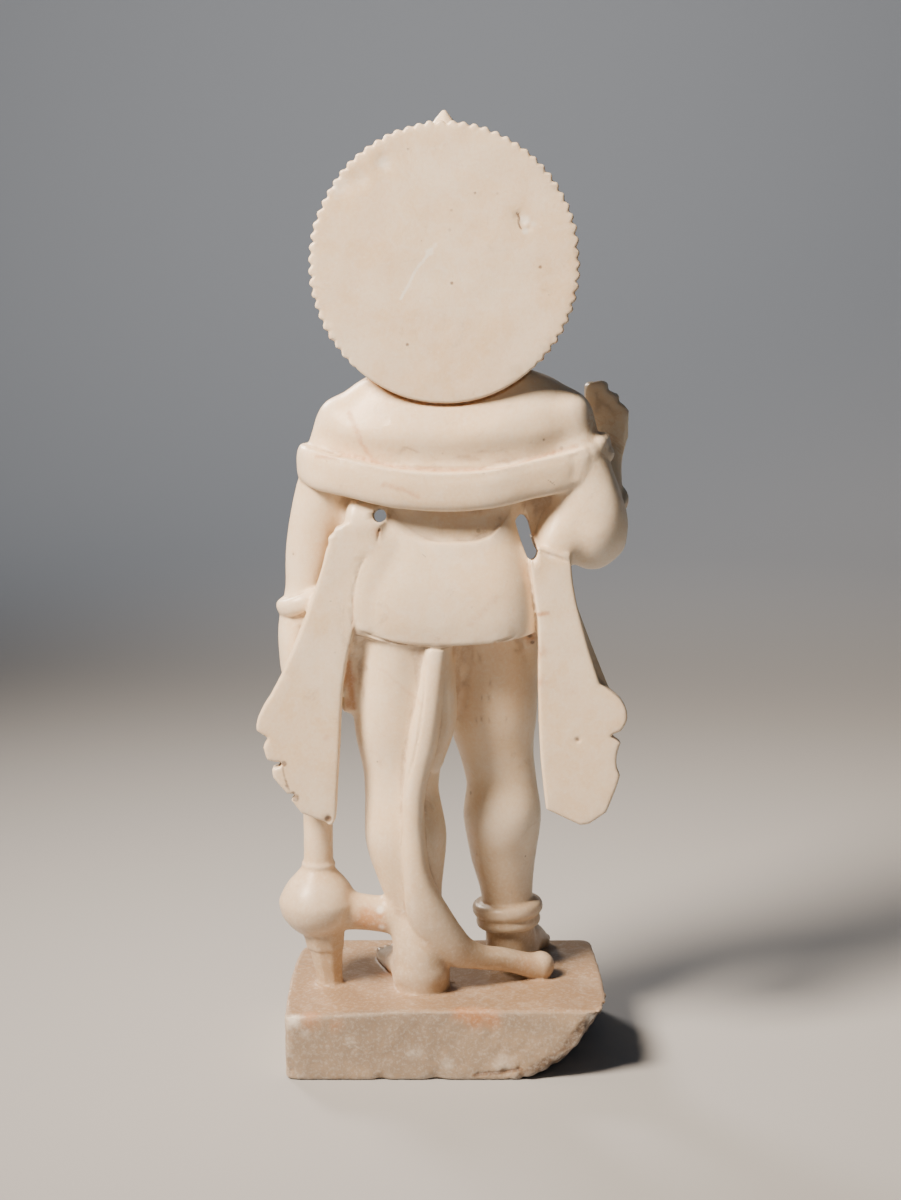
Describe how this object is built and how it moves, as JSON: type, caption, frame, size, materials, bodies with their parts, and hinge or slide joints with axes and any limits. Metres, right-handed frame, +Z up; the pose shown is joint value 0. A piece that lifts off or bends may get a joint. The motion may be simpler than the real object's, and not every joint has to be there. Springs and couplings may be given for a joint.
{
  "type": "hanuman statue",
  "caption": "Carved marble figure of Hanuman standing on a rectangular plinth, with a round scalloped halo, raised right hand, mace, scarf and tail.",
  "frame": {"origin": "middle of the plinth's underside, where the statue stands", "axes": "+Z up; the figure faces -Y and its left hand is at +X"},
  "size_m": [0.179, 0.1089, 0.457],
  "materials": {
    "marble": "warm cream marble, softly polished with age, with brown dirt in the hollows"
  },
  "bodies": {
    "root": {"hanuman_statue": "marble"}
  },
  "joints": []
}
